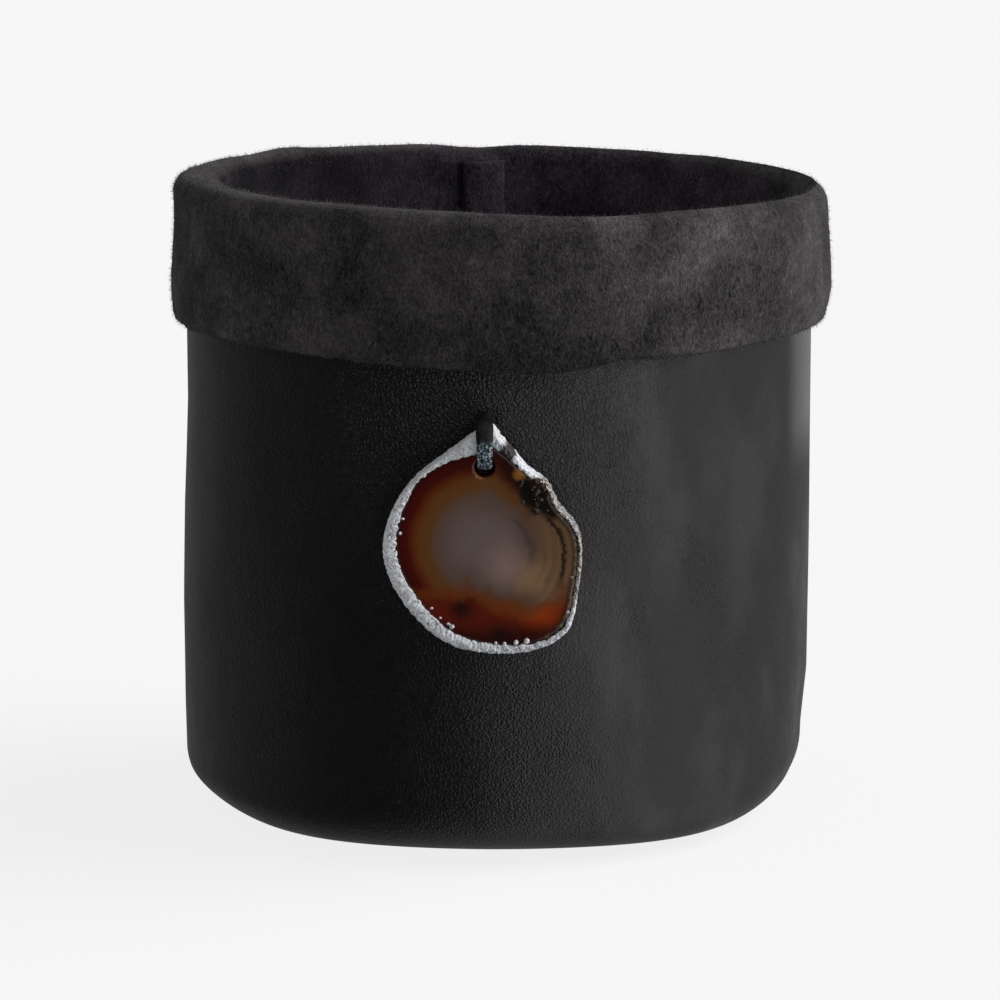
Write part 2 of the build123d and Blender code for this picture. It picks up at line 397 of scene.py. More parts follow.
def grain_leather(name, base):
    """Black leather with a pebbled grain, boldest under the cuff at the front."""
    graph = Graph(name)
    place = graph.place
    across, depth, up = (graph.split(place, axis) / MM for axis in "XYZ")
    front = depth * -1
    bent = graph.warped(place, 1.6 * MM, 0.16 * MM)
    pebbles = graph.rise(graph.cells(bent, 0.6 * MM, "DISTANCE_TO_EDGE"), 0.0, 0.3)
    small = graph.rise(graph.cells(bent, 0.34 * MM, "DISTANCE_TO_EDGE"), 0.0, 0.4)
    patches = graph.noise(place, 19 * MM, 2.0)
    wear = graph.noise(place, 5 * MM, 4.0, 0.6)
    stretch = graph.distance(across + 3, up - 66) + (patches - 0.5) * 30
    bold = 0.4 + 0.6 * graph.fall(stretch, 12.0, 34.0) * graph.rise(front, 0.0, 20.0)
    bold = graph.maths("MAXIMUM", bold, 0.75 * graph.rise(patches, 0.5, 0.68))
    creases = graph.noise(graph.stretched(bent, (0.3, 0.3, 1.7)), 1.2 * MM, 2.0)
    creased = graph.rise(across, 10.0, 22.0) * graph.fall(up, 14.0, 24.0)
    folds = graph.noise(place, 3.2 * MM, 3.0, 0.55)
    glaze = graph.noise(graph.stretched(bent, (1, 1, 0.55)), 10 * MM, 3.0, 0.5)
    glaze = graph.rise(glaze, 0.42, 0.72) * (0.1 + 0.26 * graph.rise(across, 6.0, 20.0))
    dents = graph.noise(graph.stretched(bent, (1, 1, 0.7)), 13 * MM, 2.0, 0.4)
    height = bold * (0.8 * pebbles + 0.4 * small) + (0.1 + 0.8 * creased) * creases + 0.6 * folds
    height = height + dents * (2.6 + 4.4 * graph.rise(across, 4.0, 18.0))
    rubbed_and_glints = graph.rise(across, 41.4, 43.4) * graph.rise(up, 50.0, 60.0)
    rubbed_and_glints = rubbed_and_glints * graph.rise(front, 0.0, 6.0)
    tone = graph.rise(0.6 * patches + 0.4 * wear, 0.35, 0.68)
    skin = graph.mix(shade(base, 0.75), shade(base, 1.3), tone)
    return graph.surface(
        Base_Color=graph.mix(shade(base, 0.5), skin, graph.rise(pebbles, 0.0, 0.6)),
        Roughness=0.42 - 0.1 * pebbles * bold + 0.05 * wear,
        Specular_IOR_Level=0.42,
        Specular_Tint=(1.0, 0.94, 0.96),
        Coat_Weight=graph.maths("MAXIMUM", rubbed_and_glints, glaze),
        Coat_Roughness=0.3,
        Normal=graph.bump(height, 0.13 * MM),
    )


def suede(name, base):
    """Brushed suede: short fuzzy nap with lighter and darker strokes, and painted bluish shade on
    the upper inside wall, darkest on the left.
    """
    graph = Graph(name)
    place = graph.place
    across, depth, up = (graph.split(place, axis) / MM for axis in "XYZ")
    combed = graph.warped(place, 2.6 * MM, 1.1 * MM)
    strokes = graph.noise(place, 10 * MM, 3.0, 0.55)
    tufts = graph.noise(graph.stretched(combed, (1, 1, 0.6)), 0.95 * MM, 2.0, 0.6)
    streaks = graph.noise(graph.stretched(combed, (1, 1, 0.42)), 0.3 * MM, 2.0, 0.65)
    fibres = graph.noise(graph.stretched(combed, (1, 1, 0.5)), 0.15 * MM, 1.0, 0.7)
    nap = 0.15 * graph.rise(strokes, 0.3, 0.72) + 0.2 * tufts + 0.42 * streaks + 0.26 * fibres
    # Painted shade: darkens the suede on the upper inside wall and tints it bluish, darkest on the
    # left and fading lower down.
    inside = graph.fall(graph.distance(across, depth), 43.6, 45.2)
    inside = inside * graph.fall(up, 91.0, 92.6) * graph.rise(up, 56.0, 78.0)
    less_painted_shade = graph.rise(across, -30.0, 16.0)
    painted_inner_shade = graph.mix(shade(INNER_SHADE_TINT, 0.2), shade(INNER_SHADE_TINT, 0.9), less_painted_shade)
    tint = graph.mix(base, graph.mix(base, painted_inner_shade, 1.0, "MULTIPLY"), inside)
    return graph.surface(
        Base_Color=graph.mix(tint, graph.ramp(nap, NAP_TONES), 1.0, "MULTIPLY"),
        Roughness=0.95,
        Specular_IOR_Level=0.08,
        Sheen_Weight=0.06,
        Sheen_Roughness=0.5,
        Normal=graph.bump(0.4 * fibres + 0.6 * streaks + 0.6 * tufts, 0.2 * MM, 0.9),
    )


def nap_fibre(name, base):
    """Single loose fibres of the suede, a little lighter than the nap."""
    graph = Graph(name)
    tone = graph.noise(graph.place, 4 * MM, 2.0)
    skin = graph.mix(shade(base, 0.4), shade(base, 1.3), graph.rise(tone, 0.35, 0.7))
    return graph.surface(Base_Color=skin, Roughness=0.9, Specular_IOR_Level=0.1, Sheen_Weight=0.2)


def lace_leather(name):
    """Smooth black lace, with painted bluish glints in its colour where it bends into the slice.
    """
    graph = Graph(name)
    place = graph.place
    drop = (LACE_HINGE.z - graph.split(place, "Z")) / MM
    front = graph.split(place, "Y") / MM * -1
    # Painted highlight: bluish glints mixed into the colour on the lower front, where the lace
    # bends into the slice.
    rubbed_and_glints = graph.rise(drop, 2.2, 3.6) * graph.rise(front, 47.0, 49.0)
    grain = graph.noise(graph.warped(place, 0.6 * MM, 0.2 * MM), 0.3 * MM, 2.0, 0.6)
    painted_glints = graph.rise(grain, 0.47, 0.6) * (0.01 + rubbed_and_glints)
    return graph.surface(
        Base_Color=graph.mix((0.0035, 0.0035, 0.004), (0.4, 0.54, 0.62), painted_glints),
        Roughness=0.4 + 0.2 * grain,
        Specular_IOR_Level=0.3,
        Normal=graph.bump(grain, 0.14 * MM, 0.9),
    )


def flesh_leather(name, base):
    """Unfinished flesh side of the leather."""
    graph = Graph(name)
    fibres = graph.noise(graph.place, 0.5 * MM, 4.0, 0.7)
    skin = graph.mix(shade(base, 1.5), shade(base, 4), fibres)
    return graph.surface(Base_Color=skin, Roughness=0.9, Normal=graph.bump(fibres, 0.1 * MM))


def leatherboard(name):
    """Pressed brown board with short fibres."""
    graph = Graph(name)
    fibres = graph.noise(graph.stretched(graph.place, (1, 0.4, 1)), 0.7 * MM, 4.0, 0.65)
    blotches = graph.noise(graph.place, 6 * MM, 2.0)
    skin = graph.mix((0.09, 0.06, 0.04), (0.21, 0.15, 0.105), 0.6 * fibres + 0.4 * blotches)
    return graph.surface(Base_Color=skin, Roughness=0.85, Normal=graph.bump(fibres, 0.08 * MM))


def waxed_thread(name):
    """Black thread, with its plies twisted along it."""
    graph = Graph(name)
    x, y, z = (graph.split(graph.place, axis) for axis in "XYZ")
    plies = graph.maths("SINE", (x + y * 0.6 + z) * (tau / (0.32 * MM))) * 0.5 + 0.5
    fuzz = graph.noise(graph.place, 0.15 * MM, 2.0)
    skin = graph.mix((0.008, 0.008, 0.009), (0.045, 0.043, 0.045), 0.6 * plies + 0.4 * fuzz)
    return graph.surface(Base_Color=skin, Roughness=0.48, Normal=graph.bump(plies, 0.05 * MM, 0.7))


def banded_agate(name):
    """Polished agate: smoky heart, amber ring, dark red rind and an orange foot."""
    graph = Graph(name)
    bent = graph.warped(graph.place, 5 * MM, 0.8 * MM)
    across = (graph.split(bent, "X") - STONE_HINGE.x) / MM
    up = (graph.split(bent, "Z") - STONE_HINGE.z) / MM
    down = up * -1
    share = graph.node("ShaderNodeAttribute", {"attribute_name": "edge_share"}, {}, "Fac")
    cloud = graph.noise(graph.place, 3.2 * MM, 3.0, 0.55)
    drift = cloud - 0.5
    fine = graph.noise(graph.place, 0.8 * MM, 3.0, 0.6)
    grit = fine - 0.5
    wavy = share + drift * 0.09

    def spot(x, z, radius, soft, jitter=2.5):
        """1 inside a round patch, in millimetres from the hole, and 0 outside it."""
        gap = graph.distance(across - x, up - z)
        return graph.fall(gap + drift * jitter, radius - soft, radius + soft)

    ring_gap = graph.distance(across - 1.0, up + 11.8)
    arc = graph.fall(graph.maths("ABSOLUTE", ring_gap - 5.3 + drift * 1.6), 0.08, 0.75)
    arc = arc * graph.rise(across, 2.6, 4.6) * graph.rise(up, -16.0, -12.5)
    right = graph.rise(across + drift * 2, 5.6, 9.0)
    rings = graph.maths("SINE", ring_gap * 4.4 + cloud * 3.0) * 0.5 + 0.5
    heart = graph.layered(
        SMOKE_EDGE,
        (SMOKE, spot(-0.2, -10.4, 4.6, 3.6)),
        (SMOKE_LIGHT, spot(3.2, -13.8, 2.0, 3.2)),
        (SMOKE_LINE, arc * 0.6),
        (HONEY, right * 0.85),
        (HONEY_LIGHT, spot(6.6, -15.6, 1.8, 2.4) * 0.9),
        (HONEY_RING, rings * right * 0.45),
    )
    foot = graph.layered(
        FOOT_RED,
        (FOOT_ORANGE, spot(7.6, -20.2, 2.6, 2.4)),
        (FOOT_AMBER, spot(3.4, -19.6, 1.2, 1.3)),
        (FOOT_RIM, graph.rise(down, 20.6, 24.0)),
        (FOOT_STAIN, spot(-3.0, -19.6, 1.5, 1.3)),
        (FOOT_SPOT, spot(2.2, -23.6, 1.2, 1.0)),
    )
    banded = graph.fall(wavy, 0.36, 0.54) * graph.fall(across, 3.0, 8.0)
    slope = 2.7 * graph.rise(across, -2.0, 6.0) - 2.2 * graph.rise(across, 7.0, 10.0)
    low = graph.rise(down + drift * 5.0 - slope, 16.0, 19.6)
    notch = spot(7.0, -2.9, 2.7, 0.8) + spot(9.0, -5.4, 1.5, 0.7)
    crack_gap = graph.maths("ABSOLUTE", share - 0.155 + grit * 0.08)
    crack = graph.fall(crack_gap, 0.006, 0.04) * graph.rise(across, 7.0, 9.0)
    rim = graph.rise(across, 8.4, 9.6) * graph.fall(share, 0.03, 0.1)
    chipped = graph.fall(share + grit * 0.1, 0.0, 0.07) * graph.rise(across, 7.5, 9.5)
    body = graph.layered(
        heart,
        (graph.ramp(wavy, AGATE_BANDS), banded),
        (foot, low),
        (AMBER_GLOW, low * (1 - low) * 2.2),
        (SHOULDER, spot(5.2, 0.4, 3.6, 1.3) * 0.95),
        (NOTCH, graph.maths("MINIMUM", notch, 1.0)),
        (NOTCH_AMBER, spot(4.8, -1.2, 0.75, 0.4, 1.2) * 0.8),
        (CRACK, crack * graph.rise(up, -17.5, -14.5) * 0.9),
        (RIM_DARK, rim * 0.9),
        (RIM_GOLD, chipped * graph.rise(fine, 0.5, 0.56)),
    )
    return graph.surface(
        Base_Color=graph.mix(body, BRIGHTER, 1.0, "MULTIPLY"),
        Roughness=0.2 + 0.1 * fine,
        Specular_IOR_Level=0.3,
        Coat_Weight=0.12,
        Coat_Roughness=0.08,
        Normal=graph.bump(fine, 0.02 * MM, 0.5),
    )


def crusted_silver(name, base):
    """Granular plated silver with dark pits, a little warmer in places."""
    graph = Graph(name)
    place = graph.place
    grains = graph.cells(graph.warped(place, 0.5 * MM, 0.12 * MM), 0.22 * MM, "F1")
    lumps = graph.noise(place, 0.36 * MM, 3.0, 0.7)
    tarnish = graph.noise(place, 2.4 * MM, 3.0, 0.6)
    pits = graph.rise(lumps + (tarnish - 0.5) * 0.35, 0.32, 0.48)
    across = (graph.split(place, "X") - STONE_HINGE.x) / MM + (tarnish - 0.5) * 2.0
    up = (graph.split(place, "Z") - STONE_HINGE.z) / MM + (lumps - 0.5) * 2.0
    fringe = graph.rise(across, 6.5, 8.0) * graph.rise(up, -20.5, -17.0)
    fringe = fringe * graph.fall(up, -2.0, -0.5)
    gilt = graph.mix((0.02, 0.012, 0.006), (0.3, 0.2, 0.07), graph.rise(grains, 0.5, 0.8))
    patch = graph.distance(across - 3.0, up - 2.0)
    skin = graph.layered(
        shade(base, 0.3),
        (base, pits),
        ((0.42, 0.33, 0.29), graph.rise(tarnish, 0.5, 0.72) * 0.55),
        (gilt, fringe * graph.rise(lumps, 0.42, 0.52) * 0.93),
        ((0.02, 0.01, 0.006), graph.fall(patch, 1.0, 1.6) * 0.95),
    )
    return graph.surface(
        Base_Color=skin,
        Metallic=0.05 + 0.1 * pits,
        Roughness=0.5 - 0.2 * grains,
        Specular_IOR_Level=0.5,
        Normal=graph.bump(0.6 * lumps + 0.5 * grains, 0.14 * MM, 0.9),
    )


def druzy_crystal(name):
    """Dark glassy crystal, amber where it is thin."""
    graph = Graph(name)
    tone = graph.noise(graph.place, 1.1 * MM, 2.0)
    skin = graph.ramp(tone, CRYSTAL_TONES)
    return graph.surface(Base_Color=skin, Roughness=0.2 + 0.1 * tone, Specular_IOR_Level=0.35)


def pale_floor(name, base, glow):
    """Matt pale floor that glows a little, so that shadows on it stay faint."""
    graph = Graph(name)
    tooth = graph.noise(graph.place, 1.5 * MM, 3.0)
    return graph.surface(
        Base_Color=graph.mix(shade(base, 0.99), base, tooth),
        Roughness=1.0,
        Specular_IOR_Level=0.0,
        Emission_Color=(1, 1, 1),
        Emission_Strength=glow,
    )


# ---- mesh helpers ----


def wave(*coordinates):
    """Soft noise from -1 to 1."""
    return noise.noise(Vector(coordinates))


def round_wave(angle, height, turns, rise, seed):
    """Soft noise that closes round the cup: turns across it, rise up it."""
    return wave(cos(angle) * turns + seed, sin(angle) * turns - seed, height * rise)


def smooth_step(value, low, high):
    """0 below low and 1 above high, with a smooth rise between."""
    share = min(max((value - low) / (high - low), 0.0), 1.0)
    return share * share * (3 - 2 * share)


def bell(value, middle, width):
    """1 at middle, falling away smoothly to both sides."""
    return exp(-(((value - middle) / width) ** 2))


def pair(value, middle, width):
    """Two bells, at middle and as far to the other side of 0."""
    return bell(value, middle, width) + bell(value, -middle, width)


def turned(angle, reference):
    """Angle from a reference, from -pi to pi."""
    return (angle - reference + pi) % tau - pi


def lobe(angle, degrees_round, width):
    """1 at an angle in degrees round the cup, falling away smoothly to both sides."""
    return bell(turned(angle, radians(degrees_round)), 0, width)


def around(vert):
    """A point's angle round the Z axis, and its distance from it."""
    return atan2(vert.co.y, vert.co.x), hypot(vert.co.x, vert.co.y)


def line_points(start, end, count):
    """Evenly spaced points from start, leaving out end."""
    (x, z), (end_x, end_z) = start, end
    return [(x + (end_x - x) * n / count, z + (end_z - z) * n / count) for n in range(count)]


def arc_points(centre, radius, start, end, count):
    """Points of an arc in degrees from start, leaving out end."""
    angles = (radians(start + (end - start) * n / count) for n in range(count))
    return [(centre[0] + radius * cos(a), centre[1] + radius * sin(a)) for a in angles]


def column_angles(count):
    """Angles of the columns round the cup, five times as close at the back seam."""
    weights = [1 + 4 * bell(turned(tau * n / count, SEAM_ANGLE), 0, 0.24) for n in range(count)]
    step = tau / sum(1 / weight for weight in weights)
    angles = [0.0]
    for weight in weights[:-1]:
        angles.append(angles[-1] + step / weight)
    return angles


def revolved(section, columns, shape):
    """A closed shell of revolution from a closed half section.

    Shape gives each point's new radius and height from its angle, radius and height.
    """
    bm = bmesh.new()
    points = [bm.verts.new((radius, 0, height)) for radius, height in section]
    ring = [bm.edges.new((points[n - 1], points[n])) for n in range(len(points))]
    turn = {"cent": (0, 0, 0), "axis": (0, 0, 1), "angle": tau, "use_merge": True}
    bmesh.ops.spin(bm, geom=points + ring, steps=columns, **turn)
    outwards(bm)
    angles = column_angles(columns)
    for vert in bm.verts:
        angle, radius = around(vert)
        column = round((angle % tau) / tau * columns) % columns
        vert.co.x = radius * cos(angles[column])
        vert.co.y = radius * sin(angles[column])
    for vert in bm.verts:
        angle, radius = around(vert)
        radius, height = shape(angle, radius, vert.co.z)
        vert.co = (radius * cos(angle), radius * sin(angle), height)
    return bm


def tube(segments, rows):
    """A tube of unit radius, all its rings in one place, and the points of each ring."""
    bm = bmesh.new()
    rings = [bmesh.ops.create_circle(bm, segments=segments, radius=1.0)["verts"]]
    edges = bm.edges[:]
    for _ in range(rows - 1):
        grown = bmesh.ops.extrude_edge_only(bm, edges=edges)["geom"]
        rings.append([item for item in grown if isinstance(item, bmesh.types.BMVert)])
        edges = [item for item in grown if isinstance(item, bmesh.types.BMEdge)]
    return bm, rings


def outwards(bm):
    """Turn the faces of a closed shell outwards."""
    bmesh.ops.recalc_face_normals(bm, faces=bm.faces)


def boundary(bm):
    """Edges at the open mouths of a mesh."""
    return [edge for edge in bm.edges if edge.is_boundary]


def placed(name, data):
    """A new object in the scene with that data."""
    item = bpy.data.objects.new(name, data)
    bpy.context.scene.collection.objects.link(item)
    return item


def finished(name, bm, material, body, replaced=(), smooth=True):
    """Make the mesh an object that rides on its body and stands for its nodes."""
    mesh = bpy.data.meshes.new(name)
    bm.to_mesh(mesh)
    bm.free()
    mesh.polygons.foreach_set("use_smooth", [smooth] * len(mesh.polygons))
    mesh.materials.append(material)
    piece = placed(name, mesh)
    if body:
        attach(piece, body)
    if replaced:
        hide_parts(*replaced)
    return piece


def many(bm, transforms):
    """Copies of a small shape, one for each 4x4 transform, in one mesh."""
    packed = bpy.data.meshes.new("packed")
    bm.to_mesh(packed)
    bm.clear()
    bm.from_mesh(packed)
    bpy.data.meshes.remove(packed)
    size = len(bm.verts)
    shape = np.array([(*vert.co, 1.0) for vert in bm.verts])
    copies = 1
    while copies < len(transforms):
        bmesh.ops.duplicate(bm, geom=bm.verts[:] + bm.edges[:] + bm.faces[:])
        copies *= 2
    bm.verts.index_update()
    bm.verts.ensure_lookup_table()
    spare = [vert for vert in bm.verts if vert.index >= size * len(transforms)]
    for number, transform in enumerate(transforms):
        placed = shape @ np.array(transform).T
        for offset in range(size):
            bm.verts[number * size + offset].co = placed[offset, :3]
    bmesh.ops.delete(bm, geom=spare, context="VERTS")
    return bm


# ---- shape of the cup ----


# How far the soft cup stands out at its left and right, in millimetres, by height.
LEFT_SIDE = (
    (0, 0.9), (15, 1.2), (30, 1.2), (45, 0.9), (60, 0.3), (70, 0.3), (78, 0.4), (86, -0.2),
)
RIGHT_SIDE = (
    (0, 0.3), (6, -0.3), (12, -0.1), (20, 0.65), (70, 0.65), (76, 1.3), (82, 1.1), (92, 0.6),
)
LEFT = 186
RIGHT = -2

# The wall's back seam: from its groove to the ridge and to the row of stitches.
SEAM_RIDGE = 1.0 * MM
STITCH_ROW = 2.6 * MM
STITCH_LENGTH = 2.9 * MM
STITCH_PITCH = 3.6 * MM


def at_height(profile, height):
    """Value of a profile at a height."""
    return float(np.interp(height / MM, *zip(*profile))) * MM


def body_push(angle, height):
    """How far the soft cup stands out from a true cylinder."""
    left = lobe(angle, LEFT, 0.75)
    right = lobe(angle, RIGHT, 0.75)
    swell = 0.4 * MM * round_wave(angle, height, 0.9, 1 / (48 * MM), 3.1)
    dents = 0.3 * MM * round_wave(angle, height, 2.3, 1 / (26 * MM), 7.7)
    free = max(0.0, 1 - left - right)
    push = (swell + dents) * free + 0.35 * dents * (1 - free)
    return push + left * at_height(LEFT_SIDE, height) + right * at_height(RIGHT_SIDE, height)


def seam_push(angle, radius, height):
    """Groove, ridges and stitch lines of the wall's back seam."""
    side = turned(angle, SEAM_ANGLE) * radius
    groove = -0.5 * MM * bell(side, 0, 0.16 * MM)
    ridges = 0.16 * MM * pair(side, SEAM_RIDGE, 0.8 * MM)
    rows = pair(side, STITCH_ROW, 0.42 * MM)
    return groove + ridges - 0.3 * MM * rows * smooth_step(height, 14 * MM, 16 * MM)


def wall_section(cup):
    """Closed half section of the leather wall, with most points where it shows."""
    low = WALL_LOW.z
    top = RIM_Z - cup.wall_top
    inner = WALL_RADIUS - cup.sheet
    corner = (WALL_RADIUS - cup.wall_corner, low + cup.wall_corner)
    hem_end = corner[0] - cup.wall_hem
    hem_top = low + cup.sheet
    return (
        line_points((hem_end, low), (corner[0], low), 5)
        + arc_points(corner, cup.wall_corner, -90, 0, 24)
        + line_points((WALL_RADIUS, corner[1]), (WALL_RADIUS, top), 104)
        + line_points((WALL_RADIUS, top), (inner, top), 3)
        + line_points((inner, top), (inner, corner[1]), 16)
        + arc_points(corner, cup.wall_corner - cup.sheet, 0, -90, 10)
        + line_points((corner[0], hem_top), (hem_end, hem_top), 3)
        + line_points((hem_end, hem_top), (hem_end, low), 2)
    )


def cornered(cup, angle, radius, height):
    """Tighten the moulded bottom corner, most of all on the left."""
    tight = 0.82 - 0.18 * lobe(angle, LEFT, 0.9)
    tight -= 0.32 * lobe(angle, -45, 0.42)
    tight -= 0.24 * lobe(angle, -130, 0.4)
    bottom = WALL_LOW.z
    size = cup.wall_corner
    start = WALL_RADIUS - size
    if radius < start:
        end = start - cup.wall_hem
        share = (radius - end) / cup.wall_hem
        return end + share * (WALL_RADIUS - size * tight - end), height
    if height < bottom + size:
        return WALL_RADIUS - (WALL_RADIUS - radius) * tight, bottom + (height - bottom) * tight
    top = RIM_Z - cup.wall_top
    share = (height - bottom - size) / (top - bottom - size)
    return radius, bottom + size * tight + share * (top - bottom - size * tight)


def wall_shape(cup, angle, radius, height):
    """Soft irregular shape of the wall, its seam, and the pull at the lace's slit."""
    outer = smooth_step(radius, WALL_RADIUS - 0.9 * MM, WALL_RADIUS - 0.2 * MM)
    radius, height = cornered(cup, angle, radius, height)
    upright = smooth_step(height, 1.2 * MM, 6 * MM)
    push = body_push(angle, height) * upright
    push += outer * seam_push(angle, radius, height) * upright
    side = turned(angle, -pi / 2) * WALL_RADIUS
    slit = bell(side, 0.3 * MM, 1.25 * MM) * bell(height, LACE_HINGE.z - 0.2 * MM, 0.8 * MM)
    push -= 0.7 * MM * slit * outer
    return radius + push, height


def add_wall(cup):
    """The grain leather wall."""
    bm = revolved(wall_section(cup), cup.columns, lambda *place: wall_shape(cup, *place))
    leather = grain_leather("grain_leather", cup.leather)
    return finished("leather_wall", bm, leather, "cup", ["outer_wall"])


def lining_section(cup):
    """Closed half section of the suede: hem, corner, upright, fold and cuff."""
    inner = LINING_RADIUS
    outer = inner + cup.sheet
    back = CUFF_RADIUS - cup.sheet
    fold = ((inner + CUFF_RADIUS) / 2, FOLD_Z)
    low = LINING_LOW.z
    corner = (outer - cup.lining_corner, low + cup.lining_corner)
    hem_end = corner[0] - cup.lining_hem
    hem_top = low + cup.sheet
    edge = cup.sheet / 2
    cuff_low = RIM_Z - cup.cuff_drop + edge
    return (
        line_points((hem_end, low), (corner[0], low), 2)
        + arc_points(corner, cup.lining_corner, -90, 0, 7)
        + line_points((outer, corner[1]), (outer, FOLD_Z), 10)
        + arc_points(fold, FOLD_RADIUS - cup.sheet, 180, 0, 8)
        + line_points((back, FOLD_Z), (back, cuff_low), 12)
        + arc_points((CUFF_RADIUS - edge, cuff_low), edge, 180, 360, 10)
        + line_points((CUFF_RADIUS, cuff_low), (CUFF_RADIUS, FOLD_Z), 52)
        + arc_points(fold, FOLD_RADIUS, 0, 180, 28)
        + line_points((inner, FOLD_Z), (inner, corner[1]), 56)
        + arc_points(corner, cup.lining_corner - cup.sheet, 0, -90, 7)
        + line_points((corner[0], hem_top), (hem_end, hem_top), 2)
        + line_points((hem_end, hem_top), (hem_end, low), 2)
    )


def cuff_share(radius):
    """0 on the inner ply of the lining and 1 on the cuff."""
    return smooth_step(radius, LINING_RADIUS + 1.0 * MM, CUFF_RADIUS - 1.0 * MM)


def rim_lean(angle):
    """How far the rim's inner lip lies outwards: thin on the right, full on the left."""
    return 0.3 * MM + 1.75 * MM * cos(angle) + 0.3 * MM * round_wave(angle, 0, 1.7, 0, 2.2)


def rim_rise(angle):
    """Wavy height of the rim, which leans down to the right."""
    rise = -0.1 - 0.75 * cos(angle) + 0.15 * round_wave(angle, 0, 5.0, 0, 4.9)
    rise += 0.4 * lobe(angle, 138, 0.14) - 0.45 * lobe(angle, -73, 0.24)
    rise -= 0.4 * lobe(angle, 97, 0.1)
    return rise * MM


def edge_rise(angle):
    """Wavy height of the cuff's lower edge, which hangs lowest over the slice."""
    rise = 1.0 - 1.1 * lobe(angle, -95, 0.52)
    rise -= 1.2 * lobe(angle, -80, 0.19)
    rise -= 0.5 * lobe(angle, -51, 0.14)
    behind = smooth_step(sin(angle), 0.0, 0.5)
    rise = rise * (1 - behind) + behind * (0.3 + 0.8 * round_wave(angle, 0, 2.4, 0, 12.1))
    return (rise + 0.26 * round_wave(angle, 0, 34.0, 0, 0.7)) * MM


def lining_shape(angle, radius, height):
    """Soft irregular shape of the suede."""
    top = smooth_step(height, 72 * MM, 90 * MM)
    cuff = cuff_share(radius)
    upright = smooth_step(height, 6 * MM, 18 * MM)
    push = body_push(angle, height) * upright
    inner_push = rim_lean(angle) * smooth_step(height, 80 * MM, 90.5 * MM)
    inner_push += 0.3 * MM * round_wave(angle, height, 4.0, 1 / (12 * MM), 1.3) * top
    ripples = 0.28 * MM * round_wave(angle, height, 3.2, 1 / (16 * MM), 8.4)
    tufts = 0.08 * MM * round_wave(angle, height, 34.0, 1 / (1.4 * MM), 6.1)
    low = bell(height, 70.6 * MM, 2.4 * MM)
    side = turned(angle, SEAM_ANGLE) * radius
    cuff_push = ripples + tufts - 0.3 * MM * low - 0.5 * MM * bell(side, 0, 0.2 * MM)
    push += (1 - cuff) * inner_push + cuff * cuff_push
    rise = rim_rise(angle) * top
    rise += 0.07 * MM * round_wave(angle, radius * 4, 44.0, 1 / (1.2 * MM), 9.9) * top
    rise += cuff * edge_rise(angle) * smooth_step(-height, -80 * MM, -71.5 * MM)
    return radius + push, height + rise


def add_lining(cup):
    """The suede lining with its fold and cuff."""
    bm = revolved(lining_section(cup), cup.columns, lining_shape)
    nap = suede("charcoal_suede", cup.suede)
    return finished("suede_cuff_and_lining", bm, nap, "cup", ["suede_lining"])


def add_nap(cup, nap):
    """Loose fibres that stand out of the cuff and the rim.

    The faces that they are drawn from are first put in the order of their places,
    because a spin gives its faces in another order each time.
    """
    rng = np.random.default_rng(5)
    source = bpy.data.objects["suede_cuff_and_lining"].data
    count = len(source.polygons)
    centres = np.empty((count, 3))
    normals = np.empty((count, 3))
    areas = np.empty(count)
    for name, values in (("center", centres), ("normal", normals), ("area", areas)):
        source.polygons.foreach_get(name, values.ravel())
    by_place = np.lexsort(np.round(centres / MM, 3).T)
    centres, normals, areas = centres[by_place], normals[by_place], areas[by_place]
    out = np.hypot(centres[:, 0], centres[:, 1])
    facing = (normals[:, 0] * centres[:, 0] + normals[:, 1] * centres[:, 1]) / out
    outer = out > CUFF_RADIUS - 1.6 * MM
    rim = centres[:, 2] > FOLD_Z + 0.6 * MM
    hem = outer & (centres[:, 2] < RIM_Z - cup.cuff_drop + 1.2 * MM)
    weight = areas * (1.0 * (outer & (facing > 0.3)) + 2.6 * rim + 4.0 * hem)
    fibres = nap.fibres
    transforms = []
    for face in rng.choice(count, size=fibres, p=weight / weight.sum()):
        normal = Vector(normals[face])
        lie = Vector(rng.normal(0, 0.75, 3)) + Vector((0, 0, -0.25))
        direction = (normal + lie).normalized()
        if direction.dot(normal) < 0.15:
            direction = (direction + normal).normalized()
        tall = nap.fibre_length * rng.uniform(0.5, 1.7)
        thick = nap.fibre_radius * rng.uniform(0.6, 1.3)
        spread = Vector(rng.uniform(-0.45, 0.45, 3)) * MM
        root = Vector(centres[face]) + spread - spread.project(normal) - normal * 0.06 * MM
        turn = Vector((0, 0, 1)).rotation_difference(direction).to_matrix().to_4x4()
        stretch = Matrix.Diagonal((thick, thick, tall, 1))
        transforms.append(Matrix.Translation(root) @ turn @ stretch)
    bm = bmesh.new()
    bmesh.ops.create_cone(bm, segments=3, radius1=1.0, radius2=0.0, depth=1.0, cap_ends=True)
    bmesh.ops.translate(bm, verts=bm.verts, vec=(0, 0, 0.5))
    fibre = nap_fibre("suede_fibre", cup.suede)
    return finished("suede_nap", many(bm, transforms), fibre, "cup")


